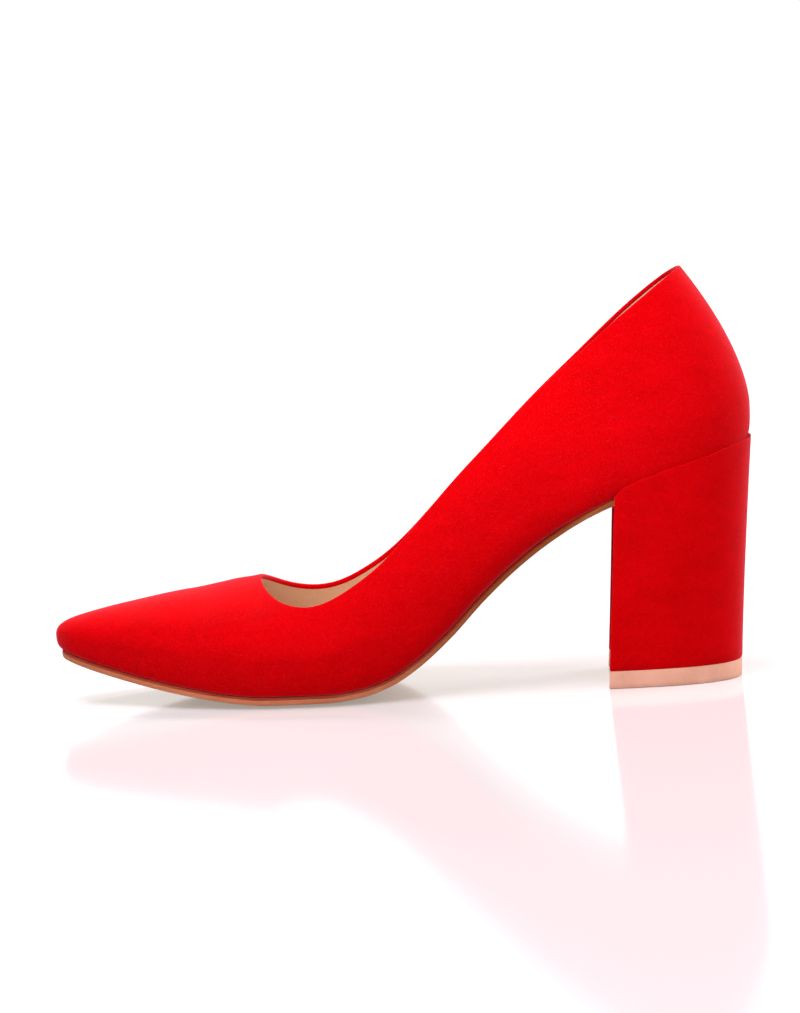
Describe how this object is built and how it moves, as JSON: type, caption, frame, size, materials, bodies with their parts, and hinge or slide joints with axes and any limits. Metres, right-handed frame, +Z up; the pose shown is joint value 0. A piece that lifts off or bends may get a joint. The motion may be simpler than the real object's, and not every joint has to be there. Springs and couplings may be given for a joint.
{
  "type": "block heel pump",
  "caption": "Women's pointed-toe pump for the right foot, with a low round throat, a suede-covered straight block heel and a thin leather outsole.",
  "frame": {"origin": "middle of the bounding box's base, on the floor that the shoe stands on", "axes": "+Z up, -X towards the toe, +X towards the back of the heel, -Y the inner side of the foot, +Y the outer side"},
  "size_m": [0.2247, 0.0796, 0.1308],
  "materials": {
    "suede": "red microsuede with a fine nap",
    "lining": "plain nude lining and sock",
    "sole": "tan edge, pale beige underside",
    "top_piece": "matt peach rubber"
  },
  "bodies": {
    "root": {"upper": "suede", "insole": "lining", "outsole": "sole", "heel": "suede", "top_piece": "top_piece"}
  },
  "joints": []
}
